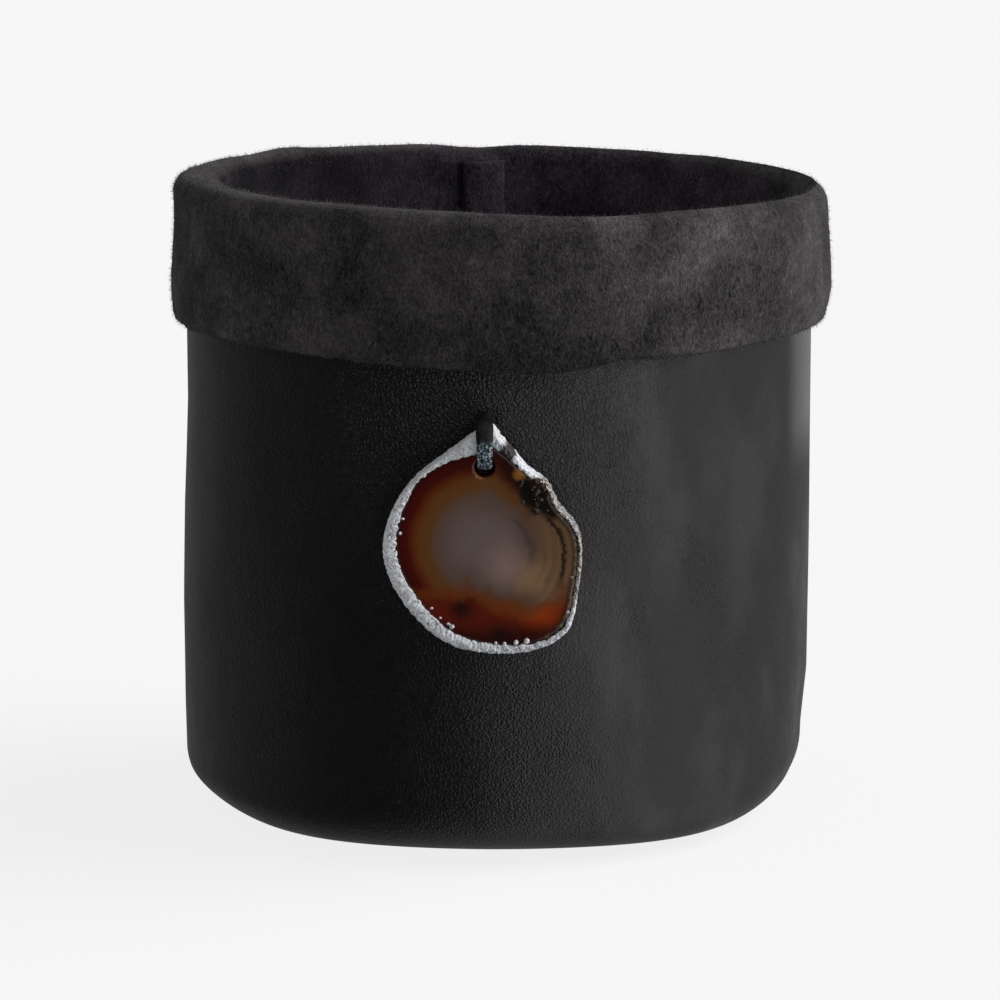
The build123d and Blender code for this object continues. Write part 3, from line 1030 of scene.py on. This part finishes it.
def add_floor_disc(cup):
    """Suede-faced disc on the floor inside, a little domed by use."""
    radius = FLOOR_HIGH.x
    thickness = FLOOR_HIGH.z - FLOOR_LOW.z
    rings = 22
    bm = bmesh.new()
    bmesh.ops.create_circle(bm, cap_ends=True, segments=160, radius=radius)
    cap = bm.faces[:]
    for _ in range(rings):
        bmesh.ops.inset_individual(bm, faces=cap, thickness=radius / (rings + 1))
    bmesh.ops.solidify(bm, geom=bm.faces[:], thickness=thickness)
    outwards(bm)
    base = min(vert.co.z for vert in bm.verts)
    for vert in bm.verts:
        angle, out = around(vert)
        level = (vert.co.z - base) / thickness
        droop = 0.45 * MM * smooth_step(out, radius - 2.2 * MM, radius) * level
        dimple = 0.16 * MM * round_wave(angle, out, 2.0, 1 / (9 * MM), 3.3) * level
        vert.co.z = FLOOR_LOW.z + level * thickness - droop + dimple - 0.15 * MM * level
    nap = bpy.data.materials["charcoal_suede"]
    return finished("floor_disc_suede", bm, nap, "cup", ["floor_disc"])


def add_seam_strip():
    """Suede strip over the lining's seam, with pinched edges and small ripples."""
    width = 6.4 * MM
    thickness = 0.9 * MM
    radius = LINING_RADIUS - 0.5 * MM
    low = STRIP_LOW.z
    high = STRIP_HIGH.z + 0.6 * MM
    bm = bmesh.new()
    bmesh.ops.create_grid(bm, x_segments=24, y_segments=110, size=0.5)
    bmesh.ops.solidify(bm, geom=bm.faces[:], thickness=thickness)
    outwards(bm)
    for vert in bm.verts:
        height = low + (vert.co.y + 0.5) * (high - low)
        side = vert.co.x * width * (1 + 0.06 * wave(height / (7 * MM), 2.0, 5.0))
        crown = 0.35 * MM * (1 - (2 * vert.co.x) ** 4)
        ripple = 0.12 * MM * wave(side / (2.5 * MM), height / (5 * MM), 1.0)
        angle = SEAM_ANGLE + side / radius
        out, rise = lining_shape(angle, radius + 0.5 * MM, height)
        face = 0.2 * MM + crown + ripple if abs(vert.co.z) > 0.4 * MM else 0
        out = out - 0.15 * MM - face
        vert.co = (out * cos(angle), out * sin(angle), rise)
    outwards(bm)
    nap = bpy.data.materials["charcoal_suede"]
    return finished("lining_strip_suede", bm, nap, "cup", ["lining_seam_strip"])


def add_stitches():
    """Two rows of thread stitches on the back seam, each pulled into its holes."""
    radius = 0.3 * MM
    bm = bmesh.new()
    bmesh.ops.create_cone(
        bm, segments=8, radius1=radius, radius2=radius, depth=STITCH_LENGTH, cap_ends=True
    )
    bars = [edge for edge in bm.edges if abs(edge.verts[0].co.z - edge.verts[1].co.z) > MM]
    bmesh.ops.subdivide_edges(bm, edges=bars, cuts=6, use_grid_fill=True)
    for vert in bm.verts:
        share = vert.co.z / (STITCH_LENGTH / 2)
        vert.co.x = vert.co.x * 0.8 - 0.5 * MM * share ** 4
        vert.co.y *= 1 - 0.35 * share ** 2
    low = STITCH_LOW.z
    transforms = []
    for side in (-1, 1):
        angle = SEAM_ANGLE + side * STITCH_ROW / WALL_RADIUS
        for number in range(round((STITCH_HIGH.z - low) / STITCH_PITCH)):
            height = low + 1.4 * MM + number * STITCH_PITCH
            out = WALL_RADIUS + body_push(angle, height) + 0.05 * MM
            lean = Matrix.Rotation(radians(5 * side + 2 * sin(number * 2.3)), 4, "X")
            turn = Matrix.Rotation(angle, 4, "Z")
            transforms.append(turn @ Matrix.Translation((out, 0, height)) @ lean)
    thread = waxed_thread("waxed_thread")
    nodes = ["back_seam_stitches"]
    return finished("seam_thread", many(bm, transforms), thread, "cup", nodes)


# ---- lace ----

# Line of the lace beside its hinge: outwards from the wall, up, and share of its
# full width.  It leaves the slit, goes over the apex, down the face, back
# through the hole and up behind the slice into the slit again.
LACE_LINE = (
    (-1.7, 0.0, 0.4), (-1.0, 0.0, 0.4), (-0.2, 0.0, 0.42), (1.0, 0.0, 0.55),
    (2.6, -0.05, 0.85), (3.9, -0.2, 1.1), (4.55, -1.0, 1.14), (4.65, -2.2, 1.06),
    (4.6, -3.6, 1.0), (4.5, -4.8, 1.0), (4.1, -5.75, 0.96), (3.2, -6.2, 0.9),
    (1.6, -6.2, 0.85), (0.2, -6.1, 0.85), (-0.4, -5.3, 0.88), (-0.5, -3.6, 0.9),
    (-0.45, -1.9, 0.8), (-0.6, -0.9, 0.5), (-1.0, -0.6, 0.35), (-1.7, -0.6, 0.3),
)


def smooth_path(points, count):
    """Evenly spaced points along a smooth open curve."""
    curve = bpy.data.curves.new("path", "CURVE")
    curve.dimensions = "3D"
    spline = curve.splines.new("NURBS")
    spline.points.add(len(points) - 1)
    for target, point in zip(spline.points, points):
        target.co = (*point, 1)
    spline.order_u = 4
    spline.use_endpoint_u = True
    spline.resolution_u = 12
    holder = bpy.data.objects.new("path", curve)
    mesh = bpy.data.meshes.new_from_object(holder)
    line = np.array([vert.co for vert in mesh.vertices])
    bpy.data.objects.remove(holder)
    bpy.data.meshes.remove(mesh)
    bpy.data.curves.remove(curve)
    run = np.concatenate([[0], np.cumsum(np.linalg.norm(np.diff(line, axis=0), axis=1))])
    even = np.linspace(0, run[-1], count)
    return np.stack([np.interp(even, run, line[:, axis]) for axis in range(3)], axis=1)


def squared(value, power):
    """A sine or cosine raised to a power, which squares a round section, with its sign."""
    return abs(value) ** power * (1 if value > 0 else -1)


def add_lace(pendant):
    """The lace's loop: a flat strap with rounded edges, gathered in its slit."""
    stations = 120
    segments = 28
    line = smooth_path(LACE_LINE, stations)
    bm, loops = tube(segments, stations)
    for station, (loop, (out, up, share)) in enumerate(zip(loops, line)):
        ahead = line[min(station + 1, stations - 1)]
        behind = line[max(station - 1, 0)]
        heading = atan2(ahead[1] - behind[1], ahead[0] - behind[0])
        half_width = pendant.lace_width / 2 * share
        half_thick = pendant.lace_thickness / 2 * (1.45 - 0.45 * min(share, 1.0))
        for vert in loop:
            turn = around(vert)[0]
            across = half_width * squared(cos(turn), 0.55)
            lift = half_thick * squared(sin(turn), 0.8)
            lift *= 1 - 0.16 * (across / half_width) ** 2
            x = across + 0.05 * MM * wave(out, up, 3.0)
            vert.co = (x, -(out * MM - lift * sin(heading)), up * MM + lift * cos(heading))
    bmesh.ops.holes_fill(bm, edges=boundary(bm), sides=segments)
    outwards(bm)
    lean = Matrix.Rotation(asin(STONE_FRONT.z * -1), 4, "X")
    bm.transform(Matrix.Translation(LACE_HINGE) @ lean)
    lace = finished("lace", bm, lace_leather("waxed_lace"), "", ["lace_loop"])
    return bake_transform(lace)


# ---- agate slice ----


def stone_place(across, out, up):
    """A point given from the slice's hole: across it, out of its face, and up it."""
    return STONE_HINGE + Vector((across, 0, 0)) + STONE_FRONT * out + STONE_UP * up


def stone_flat(point):
    """Where a point lies from the slice's hole: across, out, and up."""
    offset = Vector(point) - STONE_HINGE
    return offset.x, offset.dot(STONE_FRONT), offset.dot(STONE_UP)


STONE_HEART = (-0.4 * MM, -11.0 * MM)
OUTLINE_STEPS = 900


def from_heart(angle, reach):
    """Across and up from the slice's hole, for a place round its heart."""
    return STONE_HEART[0] + reach * cos(angle), STONE_HEART[1] + reach * sin(angle)


def slice_faces():
    """Back and front of the slice, out of the plane of its hinge."""
    outs = [stone_flat(vert.co)[1] for vert in frame["nodes"]["agate_slice"].data.vertices]
    return min(outs), max(outs)


def outline_of(node):
    """Outline of a flat node round the slice's heart: radius at each angle."""
    mesh = frame["nodes"][node].data
    flat = np.array([stone_flat(vert.co) for vert in mesh.vertices])
    pairs = np.array([edge.vertices for edge in mesh.edges])
    near = (flat[pairs][:, :, 1] > flat[:, 1].max() - 0.05 * MM).all(axis=1)
    points = flat[:, [0, 2]] - STONE_HEART
    first = points[pairs[near, 0]]
    second = points[pairs[near, 1]]
    angles = np.linspace(-pi, pi, OUTLINE_STEPS, endpoint=False)
    reach = []
    for angle in angles:
        along = np.array([cos(angle), sin(angle)])
        square = np.array([-sin(angle), cos(angle)])
        one = first @ square
        two = second @ square
        crossing = one * two < 0
        share = (one / np.where(crossing, one - two, 1))[:, None]
        reach.append(((first + share * (second - first)) @ along)[crossing].max())
    return angles, np.array(reach)


def outline_radius(outline, angle):
    """Radius of an outline at an angle."""
    return float(np.interp(angle, *outline, period=tau))


def bared(inner, outer, angle):
    """Radius where agate gives way to silver, nearest the rim at the upper left and right."""
    inside = outline_radius(inner, angle)
    silver = max(0.0, outline_radius(outer, angle) - inside - 0.3 * MM)
    return inside + silver * min(0.8 * lobe(angle, 128, 0.36) + 0.6 * lobe(angle, 8, 0.5), 1.0)


def add_slice(pendant):
    """The polished agate, drilled near its apex, with its share from edge to heart."""
    stone_line = outline_of("agate_slice")
    silver_line = outline_of("silver_edge")
    rings = 34
    centre = sum(slice_faces()) / 2
    bm = bmesh.new()
    share_layer = bm.verts.layers.float.new("edge_share")
    bmesh.ops.create_circle(bm, cap_ends=True, segments=240, radius=1.0)
    cap = bm.faces[:]
    for ring in range(1, rings):
        bmesh.ops.inset_individual(bm, faces=cap, thickness=0.01)
        for vert in cap[0].verts:
            vert.co *= (1 - ring / rings) / around(vert)[1]
    bmesh.ops.poke(bm, faces=cap)
    bmesh.ops.solidify(bm, geom=bm.faces[:], thickness=pendant.slice_thickness)
    middle = sum(vert.co.z for vert in bm.verts) / len(bm.verts)
    for vert in bm.verts:
        angle, share = around(vert)
        vert[share_layer] = 1 - share
        reach = (bared(stone_line, silver_line, angle) - 0.02 * MM) * share
        side = 1 if vert.co.z > middle else -1
        round_over = 0.22 * MM * smooth_step(share, 0.965, 1.0)
        x, z = from_heart(angle, reach)
        vert.co = (x, centre + side * (pendant.slice_thickness / 2 - round_over), z)
    drill(bm, pendant.hole_radius)
    for vert in bm.verts:
        vert.co = stone_place(*vert.co)
    outwards(bm)
    return finished("agate", bm, banded_agate("banded_agate"), "stone", ["agate_slice"])


def drill(bm, radius):
    """Open the round hole at the slice's hinge and join its two mouths."""
    middles = [(face, face.calc_center_median()) for face in bm.faces]
    inside = [face for face, middle in middles if hypot(middle.x, middle.z) < radius]
    bmesh.ops.delete(bm, geom=inside, context="FACES")
    mouth = boundary(bm)
    for vert in {vert for edge in mouth for vert in edge.verts}:
        size = hypot(vert.co.x, vert.co.z)
        vert.co.x *= radius / size
        vert.co.z *= radius / size
    bmesh.ops.bridge_loops(bm, edges=mouth)


def silver_section(low, high):
    """Half round of the silver: share from the agate to the rim, and place out of it."""
    middle = (high + low) / 2
    return (
        (0.0, high - 0.5 * MM), (0.0, high - 0.08 * MM), (0.14, high),
        (0.4, high + 0.05 * MM), (0.7, high + 0.02 * MM), (0.92, high - 0.12 * MM),
        (1.0, high - 0.45 * MM), (1.02, middle + 0.5 * MM), (1.02, middle - 0.5 * MM),
        (1.0, low + 0.45 * MM), (0.92, low + 0.12 * MM), (0.6, low - 0.03 * MM),
        (0.14, low), (0.0, low + 0.08 * MM), (0.0, low + 0.5 * MM),
    )


def add_silver(pendant):
    """Crusted silver that wraps the slice's rim, front, edge and back."""
    outer = outline_of("silver_edge")
    inner = outline_of("agate_slice")
    low, high = slice_faces()
    section = silver_section(low - pendant.edge_proud, high + pendant.edge_proud)
    bm, loops = tube(520, len(section))
    bmesh.ops.bridge_loops(bm, edges=boundary(bm))
    for loop, (share, out) in zip(loops, section):
        for vert in loop:
            angle = around(vert)[0]
            inside = bared(inner, outer, angle)
            outside = outline_radius(outer, angle)
            ragged = 0.22 * MM * wave(cos(angle) * 22, sin(angle) * 22, out / MM) * (1 - share)
            reach = inside + (outside - inside) * share + ragged - 0.03 * MM * (share == 0)
            x, z = from_heart(angle, reach)
            vert.co = stone_place(x, out, z)
    outwards(bm)
    bmesh.ops.subdivide_edges(bm, edges=bm.edges[:], cuts=1, use_grid_fill=True)
    bm.normal_update()
    for vert in bm.verts:
        place = vert.co / MM
        rough = 0.13 * wave(*(place * 1.7)) + 0.1 * wave(*(place * 4.1))
        vert.co += vert.normal * rough * MM
    outwards(bm)
    silver = crusted_silver("crusted_silver", pendant.silver)
    return finished("silver_crust", bm, silver, "stone", ["silver_edge"])


# Where beads of silver lie on the agate's edge, in degrees round its heart.
BEADS = (-128, -121, -113, -109, -83, -77, -71, -66, -38, -20, 172, 160)
CRYSTALS = 46


def crumbs(transforms):
    """Copies of a small round shape of unit radius."""
    bm = bmesh.new()
    bmesh.ops.create_icosphere(bm, subdivisions=1, radius=1.0)
    return many(bm, transforms)


def tumbled(rng, place, sizes, flat, talls):
    """A transform from unit radius to a place, sized and turned at random."""
    size = rng.uniform(*sizes) * MM
    spin = Matrix.Rotation(rng.uniform(0, tau), 4, Vector(rng.normal(0, 1, 3)))
    stretch = Matrix.Diagonal((size, size * flat, size * rng.uniform(*talls), 1))
    return Matrix.Translation(place) @ spin @ stretch


def add_crumbs():
    """Small beads of silver on the agate's edge, and dark crystals in its notch."""
    rng = np.random.default_rng(12)
    inner = outline_of("agate_slice")
    front = slice_faces()[1]
    beads = []
    for degrees_round in BEADS:
        angle = radians(degrees_round + rng.uniform(-1.5, 1.5))
        reach = outline_radius(inner, angle) - rng.uniform(0.1, 0.75) * MM
        x, z = from_heart(angle, reach)
        beads.append(tumbled(rng, stone_place(x, front, z), (0.22, 0.48), 0.8, (0.7, 1.2)))
    silver = bpy.data.materials["crusted_silver"]
    finished("silver_beads", crumbs(beads), silver, "stone")

    crystals = []
    for _ in range(CRYSTALS):
        x = rng.normal(7.6, 1.15) * MM
        z = rng.normal(-3.2, 1.15) * MM
        angle = atan2(z - STONE_HEART[1], x - STONE_HEART[0])
        limit = outline_radius(inner, angle) - 0.15 * MM
        if hypot(x - STONE_HEART[0], z - STONE_HEART[1]) > limit:
            x, z = from_heart(angle, limit)
        place = stone_place(x, front - 0.2 * MM, z)
        crystals.append(tumbled(rng, place, (0.28, 0.62), 1, (0.9, 1.5)))
    crystal = druzy_crystal("dark_crystal")
    finished("notch_crystals", crumbs(crystals), crystal, "stone", smooth=False)


# ---- what stays as CAD ----


def dress(node, material):
    """Give a carried-over node its material."""
    piece = frame["nodes"][node]
    piece.data.materials.clear()
    piece.data.materials.append(material)


def dress_hidden_pieces(cup):
    """Base cover, boards, seam backing and lace tails."""
    dress("base_cover", bpy.data.materials["grain_leather"])
    board = leatherboard("leatherboard")
    dress("hem_filler", board)
    dress("base_board", board)
    dress("back_seam_backing", flesh_leather("flesh_side", cup.leather))
    dress("lace_tails", bpy.data.materials["waxed_lace"])


# ---- stage ----


def add_floor(stage):
    """Wide pale floor, which lights nothing itself."""
    bm = bmesh.new()
    bmesh.ops.create_circle(bm, cap_ends=True, segments=64, radius=6.0)
    mesh = bpy.data.meshes.new("floor")
    bm.to_mesh(mesh)
    bm.free()
    mesh.materials.append(pale_floor("pale_floor", stage.floor, stage.floor_glow))
    floor = placed("floor", mesh)
    floor.visible_glossy = False
    floor.visible_diffuse = False


# Glow of the studio that gloss mirrors, as share of the brightest, by direction:
# a full turn to the right from behind the cup, the middle being its front.
STUDIO_GLOW = (
    (0.0, 0.2), (0.15, 0.15), (0.25, 0.11), (0.36, 0.045), (0.48, 0.02),
    (0.525, 0.05), (0.569, 0.95), (0.63, 1.0), (0.7, 0.72), (0.78, 0.5),
    (0.84, 0.29), (0.89, 0.22), (0.93, 0.3), (1.0, 0.2),
)


def add_world(stage):
    """Soft surroundings: even for matt surfaces, and brighter on the right for gloss."""
    graph = Graph("studio", "worlds", "Generated")
    ahead = graph.split(graph.place, "Y") * -1
    turn = graph.maths("ARCTAN2", graph.split(graph.place, "X"), ahead) / tau + 0.5
    glow = graph.ramp(turn, [(place, (level,) * 3) for place, level in STUDIO_GLOW])
    glossy = graph.node("ShaderNodeLightPath", output="Is Glossy Ray")
    level = stage.fill + (graph.split(glow, "X") * stage.gloss - stage.fill) * glossy
    sky = graph.node("ShaderNodeBackground", {}, {"Strength": level})
    graph.node("ShaderNodeOutputWorld", {}, {"Surface": sky})
    bpy.context.scene.world = graph.owner


def add_lamp(name, kind, power, heading, lit):
    """A light that shines along a heading, on some pieces alone."""
    light = bpy.data.lights.new(name, kind)
    light.energy = power
    lamp = placed(name, light)
    lamp.rotation_euler = Vector(heading).to_track_quat("-Z", "Y").to_euler()
    lamp.light_linking.receiver_collection = lit
    return lamp


def add_softbox(name, place, target, size, power, lit):
    """A soft square light that isn't mirrored in the cup."""
    lamp = add_lamp(name, "AREA", power, Vector(target) - Vector(place), lit)
    lamp.location = place
    lamp.visible_glossy = False
    lamp.data.shape = "RECTANGLE"
    lamp.data.size = lamp.data.size_y = size


def add_lights(stage):
    """Softboxes right and left of the cup, and a sun that shades the floor alone."""
    pieces = bpy.data.collections.new("lit_pieces")
    floor = bpy.data.collections.new("lit_floor")
    for piece in bpy.context.scene.objects:
        if piece.type == "MESH":
            (floor if piece.name == "floor" else pieces).objects.link(piece)
    key = (0.9 * sin(stage.bright_side), -0.9 * cos(stage.bright_side), 0.5)
    left = (-0.9, -0.1, 0.55)
    add_softbox("key_softbox", key, (0, 0, 0.045), 0.45, stage.key_power, pieces)
    add_softbox("left_softbox", left, (0, 0, 0.06), 0.4, stage.left_power, pieces)
    sun = add_lamp("sun", "SUN", stage.sun_power, (-0.75, -0.1, -0.6), floor)
    sun.data.angle = radians(50)


def add_camera(stage):
    """Camera a little right of straight ahead and looking slightly down."""
    camera = bpy.data.cameras.new("camera")
    camera.lens = stage.focal_length
    camera.sensor_width = 36
    camera.shift_x = 0.0023
    camera.shift_y = -0.0163
    camera.dof.use_dof = False
    eye = placed("camera", camera)
    turn = stage.camera_turn
    reach = stage.camera_distance
    eye.location = (reach * sin(turn), -reach * cos(turn), stage.camera_height)
    eye.rotation_euler = (pi / 2 - stage.camera_pitch, 0, turn)
    bpy.context.scene.camera = eye


# ---- operators ----


class DICECUP_OT_wall(bpy.types.Operator):
    """Build the grain leather wall"""

    bl_idname = "dice_cup.wall"
    bl_label = "Leather wall"

    def execute(self, context):
        add_wall(context.scene.dice_cup)
        return {"FINISHED"}


class DICECUP_OT_lining(bpy.types.Operator):
    """Build the suede lining, its cuff, its nap, the seam strip and the floor disc"""

    bl_idname = "dice_cup.lining"
    bl_label = "Suede lining and cuff"

    def execute(self, context):
        cup = context.scene.dice_cup
        add_lining(cup)
        add_seam_strip()
        add_floor_disc(cup)
        add_nap(cup, context.scene.dice_cup_nap)
        return {"FINISHED"}


class DICECUP_OT_stitches(bpy.types.Operator):
    """Build the stitches of the back seam"""

    bl_idname = "dice_cup.stitches"
    bl_label = "Back seam stitches"

    def execute(self, context):
        add_stitches()
        return {"FINISHED"}


class DICECUP_OT_lace(bpy.types.Operator):
    """Build the lace"""

    bl_idname = "dice_cup.lace"
    bl_label = "Lace"

    def execute(self, context):
        add_lace(context.scene.dice_cup_pendant)
        return {"FINISHED"}


class DICECUP_OT_slice(bpy.types.Operator):
    """Build the agate slice, its silver edge, beads and crystals"""

    bl_idname = "dice_cup.slice"
    bl_label = "Agate slice"

    def execute(self, context):
        pendant = context.scene.dice_cup_pendant
        add_slice(pendant)
        add_silver(pendant)
        add_crumbs()
        return {"FINISHED"}


class DICECUP_OT_hidden(bpy.types.Operator):
    """Give the pieces inside and underneath their materials"""

    bl_idname = "dice_cup.hidden"
    bl_label = "Hidden pieces"

    def execute(self, context):
        dress_hidden_pieces(context.scene.dice_cup)
        return {"FINISHED"}


class DICECUP_OT_stage(bpy.types.Operator):
    """Build the floor, the surroundings, the lights and the camera"""

    bl_idname = "dice_cup.stage"
    bl_label = "Stage"

    def execute(self, context):
        stage = context.scene.dice_cup_stage
        add_floor(stage)
        add_world(stage)
        add_lights(stage)
        add_camera(stage)
        context.scene.view_settings.view_transform = "Standard"
        return {"FINISHED"}


class DICECUP_PT_panel(bpy.types.Panel):
    """Panel that lists the pieces"""

    bl_label = "Dice Cup"
    bl_idname = "DICECUP_PT_panel"
    bl_space_type = "VIEW_3D"
    bl_region_type = "UI"
    bl_category = "Dice Cup"

    def draw(self, context):
        for operator in OPERATORS:
            self.layout.operator(operator.bl_idname)


SETTINGS = {
    "dice_cup": CupSettings,
    "dice_cup_nap": NapSettings,
    "dice_cup_pendant": PendantSettings,
    "dice_cup_stage": StageSettings,
}
OPERATORS = [
    DICECUP_OT_wall,
    DICECUP_OT_lining,
    DICECUP_OT_stitches,
    DICECUP_OT_lace,
    DICECUP_OT_slice,
    DICECUP_OT_hidden,
    DICECUP_OT_stage,
]


def register():
    """Register the settings, the operators and the panel."""
    for name, group in SETTINGS.items():
        bpy.utils.register_class(group)
        setattr(bpy.types.Scene, name, PointerProperty(type=group))
    for operator in OPERATORS:
        bpy.utils.register_class(operator)
    bpy.utils.register_class(DICECUP_PT_panel)


def unregister():
    """Take away what register added."""
    bpy.utils.unregister_class(DICECUP_PT_panel)
    for operator in reversed(OPERATORS):
        bpy.utils.unregister_class(operator)
    for name, group in SETTINGS.items():
        delattr(bpy.types.Scene, name)
        bpy.utils.unregister_class(group)


def main():
    """Build every piece and the stage."""
    register()
    for operator in OPERATORS:
        getattr(bpy.ops.dice_cup, operator.bl_idname.split(".")[1])()


if __name__ == "__main__":
    main()
